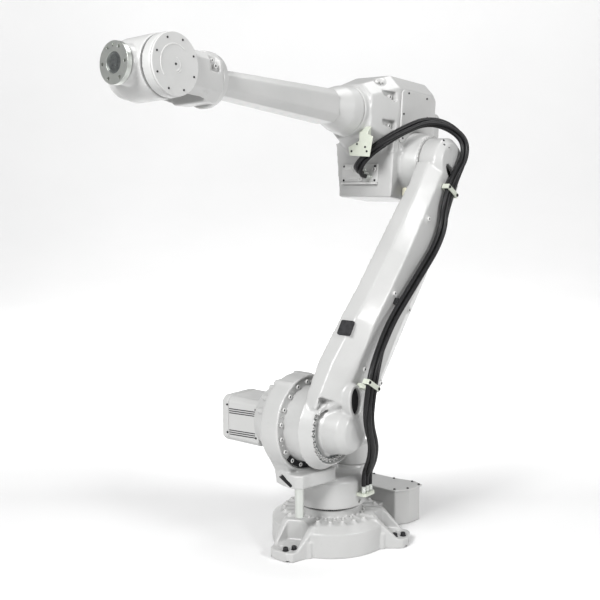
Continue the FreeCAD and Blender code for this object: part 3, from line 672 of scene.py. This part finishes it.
def add_to_turret(bm):
    for point in around(AXIS_2, "Y", 141, range(22, 190, 21), 0):
        turned(bm, [(-98, 0), (-98, 8), (-92, 11), (-40, 13), (-40, 0)], point, Y, 20)
    for point in around(AXIS_2, "Y", 168, (62, 100, 128, 152), 0):
        turned(bm, [(-54, 0), (-54, 16), (20, 16), (30, 12), (30, 0)], point, Y, 20)


def cut_turret(bm):
    prism(bm, [(262, -24, 306), (262, -8, 312), (262, 42, 284), (262, 32, 274)], (40, 0, 0))
    turned(bm, [(0, 0), (0, 8), (30, 8), (30, 0)], polar(120, 92, 171), polar(1, 92, 0), 20)


def draw_motor_vents(bm):
    """Two groups of slanting vents on the motor's outer side."""
    x = MOTOR_SIDE_X + 0.2
    for z0 in (519, 436):
        for row in range(3):
            z = z0 - row * 8
            prism(bm, [(x, -282, z), (x, -150, z + 6), (x, -150, z + 2.5), (x, -282, z - 3.5)], (0.9, 0, 0))


# painted shade: a dark fill in the slot cut into the lug
def draw_lug_shade(bm):
    prism(bm, [(MOTOR_SIDE_X, y, z) for y, z in LUG_SLOT], (16, 0, 0))


def draw_ring_shadow(bm):
    """Painted shadow: a dark sheet at the bottom of the ring, where it opens round the gear case."""
    for low in range(-128, -44, 4):
        inner, outer = (list(around(AXIS_2, "Y", radius, (low, low + 4), 28)) for radius in (143, 164))
        prism(bm, inner + outer[::-1], (0, 8, 0))


def turret_pieces():
    casting("turret_body", "turret_casting", TURRET, "turret", add_to_turret, cut_turret, 3.8, 4, 0.32)
    made_piece("lug_slot_shade", draw_lug_shade, TURRET, "turret", SHADE_BLACK)
    machined("gear_case", "axis_2_gear_case", TURRET, "turret", PAINT, 5)
    machined("motor_2_body", "axis_2_motor", TURRET, "turret", PAINT, 6)
    machined("motor_2_end", "axis_2_motor_cap", TURRET, "turret", PAINT, 6)
    made_piece("motor_2_vents", draw_motor_vents, TURRET, "turret", BLACK_STEEL, bevel=0)
    screws("motor_2_screws", TURRET, "turret", BLACK_STEEL,
           [(socket_screw, (MOTOR_SIDE_X, y, z), X, 4, 3) for y in (-292, -146) for z in (424, 532)])
    heads = [(socket_screw, p, Y, 8.5, 9) for p in around(AXIS_2, "Y", 154, range(8, 368, 20), RING_FLOOR_Y)]
    heads += [(socket_screw, p, Y, 4, 5) for p in around(AXIS_2, "Y", 152, range(18, 378, 40), RING_FLOOR_Y)]
    made_piece("ring_shadow_gap", draw_ring_shadow, TURRET, "turret", SHADE_BLACK, bevel=0)
    screws("gear_case_screws", TURRET, "turret", PAINT_LIGHT, heads)
    machined("motor_1_body", "axis_1_motor", TURRET, "turret", PAINT, 3)
    screws("motor_1_screws", TURRET, "turret", BLACK_STEEL,
           [(socket_screw, p, Z, 4, 4) for p in around(MOTOR_1_AT, "Z", 44, range(45, 405, 90), 377.5)])
    machined("stop_pin_bar", "stop_pin", TURRET, "turret", STEEL, 1)
    machined("waist_shelf", "waist_plug_bracket", TURRET, "turret", PLATED, 1.2)
    x, y, z = WAIST_PLUG_AT
    for number in (1, 2, 3):
        plug("waist_plug_%d" % number, (x + 20 * (number - 2), y, z), Z, 26, TURRET, "turret")


def plug(node_name, at, along, length, place, body):
    """Round connector with a knurled nut and a tapered boot."""
    def draw(bm):
        turned(bm, [(0, 0), (0, 9.2), (3, 9.2), (3.4, 8), (5, 8), (5.4, 9.6), (15, 9.6), (15.6, 8.6),
                    (17, 8.6), (17.5, 9.5), (length - 4, 9.5), (length - 0.1, 8.8), (length - 0.1, 0)],
               at, along, 28)
    made_piece(node_name + "_connector", draw, place, body, STEEL, [node_name], 0.4)


# ---------------------------------------------------------------- lower arm
FACE_SCREWS = ((28, 286, 838), (65, 268, 512), (70, 248, 212), (-55, 266, 500), (-50, 248, 205))
HUB_POCKET = ((156, 64), (110, 68), (104, 34), (110, 4), (128, 8))
HEAD_BOSS_AT = Vector((64, 288, 1140))
CLAMP_FACE_Y = 335.6
HEAD_BOSS_OUT = (0.42, 0.8, 0.42)
HEAD_BOSS_ACROSS = Vector((0.9, -0.42, 0))
HEAD_BOSS_UP = Vector((0, -0.4, 0.9))


def add_to_arm(bm):
    for x, y, z in FACE_SCREWS:
        turned(bm, [(-20, 0), (-20, 15), (2, 14), (5, 12), (5, 0)], (x, y, z), Y, 24)
    turned(bm, [(-34, 0), (-34, 27), (-3, 26), (0, 22), (0, 0)], HEAD_BOSS_AT, HEAD_BOSS_OUT, 24)
    prism(bm, oval((62, 220, 93), 41, 62, 35), (0, 38, 0))


def cut_arm(bm):
    prism(bm, oval((60, 226, 95), 29, 49, 35), (0, 60, 0))
    prism(bm, oval((-2, 140, -97), 17, 8, -8), (0, 26, 0))
    prism(bm, [(x, 150, z) for x, z in HUB_POCKET], (0, 120, 0))
    groove = list(around((0, 0, 0), "Y", 98, range(162, 386, 6), 143))
    groove += list(around((0, 0, 0), "Y", 130, range(384, 160, -6), 143))
    prism(bm, groove, (0, 34, 0))
    prism(bm, oval((-20, 262, 1056), 54, 20, -14), (0, 60, 0))


def draw_arm_opening_shades(bm):
    """Painted shade: dark floors in the openings that are cut into the arm."""
    prism(bm, oval((60, 230, 95), 28, 48, 35), (0, 12, 0))
    prism(bm, oval((-2, 141, -97), 16.5, 7.5, -8), (0, 9, 0))
    prism(bm, oval((-20, 263, 1056), 53, 19, -14), (0, 16, 0))


def groove_shade_ring(bm):
    """Painted shade: a dark steel ring at the bottom of the groove round the hub."""
    for low in range(164, 380, 5):
        inner, outer = (list(around((0, 0, 0), "Y", radius, (low, low + 5), 142)) for radius in (97, 131))
        prism(bm, inner + outer[::-1], (0, 3, 0))


def thin_clamp(bm):
    """Thinner outer plate, so that the screw heads on it stay inside the part's box."""
    for vert in bm.verts:
        vert.co.y = min(vert.co.y, CLAMP_FACE_Y)


def arm_pieces():
    casting("lower_arm_body", "lower_arm_casting", ARM, "lower_arm", add_to_arm, cut_arm, 3.8, 4, 0.3)
    made_piece("lower_arm_opening_shades", draw_arm_opening_shades, ARM, "lower_arm", SHADE_BLACK, bevel=0)
    made_piece("lower_arm_groove_shade", groove_shade_ring, ARM, "lower_arm", DARK_STEEL_AND_SHADE, bevel=0)
    heads = [(socket_screw, (x, y + 4.6, z), Y, 8.5, 5) for x, y, z in FACE_SCREWS]
    heads += [(socket_screw, p, Y, 7.2, 9) for p in around((0, 0, 0), "Y", 117, range(170, 380, 10), 144)]
    screws("lower_arm_screws", ARM, "lower_arm", PAINT_LIGHT, heads)
    screws("lower_arm_head_screws", ARM, "lower_arm", BLACK_STEEL,
           [(socket_screw, HEAD_BOSS_AT + HEAD_BOSS_ACROSS * a + HEAD_BOSS_UP * b, HEAD_BOSS_OUT, 4, 2.5)
            for a in (-11, 11) for b in (-11, 11)])
    machined("bumper_pad", "bumper", ARM, "lower_arm", RUBBER, 1.5)
    machined("low_clamp", "low_cable_clamp", ARM, "lower_arm", PLATED, 1.2, thin_clamp)
    machined("high_clamp", "high_cable_clamp", ARM, "lower_arm", PLATED, 1.2)
    machined("tie_block", "cable_tie_bracket", ARM, "lower_arm", BLACK_STEEL, 1.5)
    clamp_heads = [(socket_screw, (x, 335, 150), Y, 5.5, 4) for x in (68, 132)]
    clamp_heads += [(socket_screw, (x, 326.5, 984), Y, 5.5, 4) for x in (-52, 12)]
    screws("clamp_screws", ARM, "lower_arm", BLACK_STEEL, clamp_heads)


# ---------------------------------------------------------------- elbow
POCKETS = ((163, 238), (160, 129))
BEVEL_OUT = (0, 0.7, 0.7)   # straight out of the case's upper bevel
COVER_SCREWS = ((79, 262), (-51, 258), (-59, 185), (-92, 90), (108, 88), (108, 180))
BRACKET_SCREWS = ((92, 38), (100, 22), (54, 50), (30, 24))
PLATE_SCREWS = ((-90, -76), (58, -76), (58, -22), (-90, -22))
PLATE_X = 168
ELBOW_PLUGS = ((5, -37), (20, -50), (35, -63))


def add_to_elbow(bm):
    for i in range(4):
        x = 168 - i * 26
        block(bm, (x - 5, x + 5), (120, 140), (30, 96 - i * 16))


def cut_elbow(bm):
    for x, z in POCKETS:
        prism(bm, [(x - 20, 100, z - 18), (x + 46, 100, z + 4), (x + 52, 100, z + 20), (x - 16, 100, z + 20)],
              (0, 60, 0))
    turned(bm, [(-11, 0), (-11, 26), (30, 30), (30, 0)], (192, 76, 298), BEVEL_OUT, 24)


def draw_front_details(bm):
    """Lower lip, raised pads and spare sockets of the connector plate."""
    block(bm, (160, 176), (-98, 67), (-91, -84.2))
    for y0, z0 in ((-90, -34), (-60, -72)):
        block(bm, (167.6, 170), (y0, y0 + 34), (z0, z0 + 14))
    for y, z in ((-40, -36), (-14, -26), (-4, -72), (54, -34)):
        turned(bm, [(0, 0), (0, 8), (6, 8), (6, 5.5), (2, 5), (2, 0)], (167.8, y, z), X, 20)


def fold_tab(bm):
    """The bracket's tab leans back from its plate to the casting."""
    for vert in bm.verts:
        if vert.co.z > 90 and vert.co.x > 280:
            vert.co.z = 94


def elbow_pieces():
    casting("elbow_body", "elbow_housing", ELBOW, "elbow", add_to_elbow, cut_elbow, 3.8, 4, 0.32)
    machined("elbow_cover", "elbow_side_cover", ELBOW, "elbow", PAINT, 3)
    machined("elbow_front_plate", "elbow_front_cover", ELBOW, "elbow", PAINT_LIGHT, 1.5)
    machined("elbow_bracket", "cable_bracket", ELBOW, "elbow", PLATED, 1, fold_tab)
    made_piece("elbow_side_block", lambda bm: block(bm, (36, 66), (118, 138), (-128, -96)),
               ELBOW, "elbow", CREAM, bevel=1.5)
    made_piece("elbow_front_details", draw_front_details, ELBOW, "elbow", PAINT_LIGHT, bevel=1)
    machined("motor_3_body", "axis_3_motor", ELBOW, "elbow", PAINT, 5)
    machined("motor_4_body", "axis_4_motor", ELBOW, "elbow", PAINT, 4)
    heads = [(socket_screw, p, Y, 3.6, 3) for p in around((0, 0, 0), "Y", 101.5, range(0, 360, 10), 203)]
    heads += [(socket_screw, (x, 100, z), Y, 9, 11) for x, z in POCKETS]
    heads += [(socket_screw, (204, 70, 290), BEVEL_OUT, 8, 9), (socket_screw, (180, 70, 290), BEVEL_OUT, 6, 8)]
    screws("elbow_screws", ELBOW, "elbow", PAINT_LIGHT, heads)
    small = [(socket_screw, (x, 137, z), Y, 4, 2.5) for x, z in COVER_SCREWS]
    small += [(socket_screw, (286.8, y, z), X, 4, 2.5) for y, z in BRACKET_SCREWS]
    small += [(socket_screw, (PLATE_X, y, z), X, 4.2, 3) for y, z in PLATE_SCREWS]
    screws("elbow_cover_screws", ELBOW, "elbow", BLACK_STEEL, small)
    for number, (y, z) in enumerate(ELBOW_PLUGS, 1):
        plug("elbow_plug_%d" % number, (PLATE_X, y, z), X, 30, ELBOW, "elbow")


# ---------------------------------------------------------------- forearm, wrist and flange
AXIS_5 = (1270, 0, 0)
ARCS = ((60, 130, 56, 60), (-40, 58, 56, 60), (-150, -110, 24, 27), (100, 260, 18, 21))     # angles, radii
COVER_SCREW_ANGLES = range(20, 380, 45)
NEAR_COVER_Y = 113
BORE_PROFILE = ((0, 0), (0, 31), (0.6, 31), (0.8, 24), (0.2, 23), (0.2, 8), (1.4, 7), (1.4, 0))


def cut_wrist(bm):
    prism(bm, [(1065, 82, 9), (1113, 82, 11), (1105, 82, 61), (1073, 82, 57)], (0, 40, 0))
    prism(bm, [(1114, 84, -74), (1138, 84, -74), (1138, 84, -56), (1114, 84, -56)], (0, 40, 0))


def cover_arcs(bm):
    """Low arcs and a middle ring cast on the round cover."""
    for low, high, inner_r, outer_r in ARCS:
        count = int((high - low) / 5)
        for i in range(count):
            ends = [low + (high - low) * k / count for k in (i, i + 1)]
            inner, outer = (list(around(AXIS_5, "Y", r, ends, NEAR_COVER_Y)) for r in (inner_r, outer_r))
            prism(bm, inner + outer[::-1], (0, 2, 0))


def forearm_pieces():
    casting("forearm_body", "forearm_tube", FOREARM, "forearm", None, None, 4, 6, 0.34)
    casting("wrist_body", "wrist_housing", FOREARM, "forearm", None, cut_wrist, 3.5, 6, 0.34)
    machined("wrist_cover_near", "wrist_side_cover_1", FOREARM, "forearm", PAINT_LIGHT, 1.5)
    machined("wrist_cover_far", "wrist_side_cover_2", FOREARM, "forearm", PAINT_LIGHT, 1.5)
    made_piece("wrist_cover_arcs", cover_arcs, FOREARM, "forearm", PAINT_LIGHT, bevel=0.6)
    heads = [(socket_screw, p, Y, 3.2, 2) for p in around(AXIS_5, "Y", 78, COVER_SCREW_ANGLES, 113.8)]
    heads += [(socket_screw, p, -Y, 4.4, 2.6) for p in around(AXIS_5, "Y", 72, COVER_SCREW_ANGLES, -103.8)]
    heads.append((socket_screw, (1270, 113.8, 0), Y, 3.6, 2))
    screws("wrist_cover_screws", FOREARM, "forearm", BLACK_STEEL, heads)
    screws("wrist_screws", FOREARM, "forearm", PAINT_LIGHT,
           [(socket_screw, (1083, 82, 27), Y, 8, 11), (socket_screw, (1097, 82, 43), Y, 6, 9)])
    casting("wrist_core", "wrist_unit", WRIST, "wrist", None, None, 3, 3, 0.4)
    machined("flange_disc", "tool_flange", WRIST, "tool_flange", STEEL, 0.8)
    made_piece("flange_bore", lambda bm: turned(bm, BORE_PROFILE, (129, 0, 0), X, 48),
               WRIST, "tool_flange", DARK_STEEL_AND_SHADE, bevel=0)


add_camera()
for number in (1, 2, 3):
    for which in ROUTES:
        cable(which, number)
base_pieces()
turret_pieces()
arm_pieces()
elbow_pieces()
forearm_pieces()
add_studio()
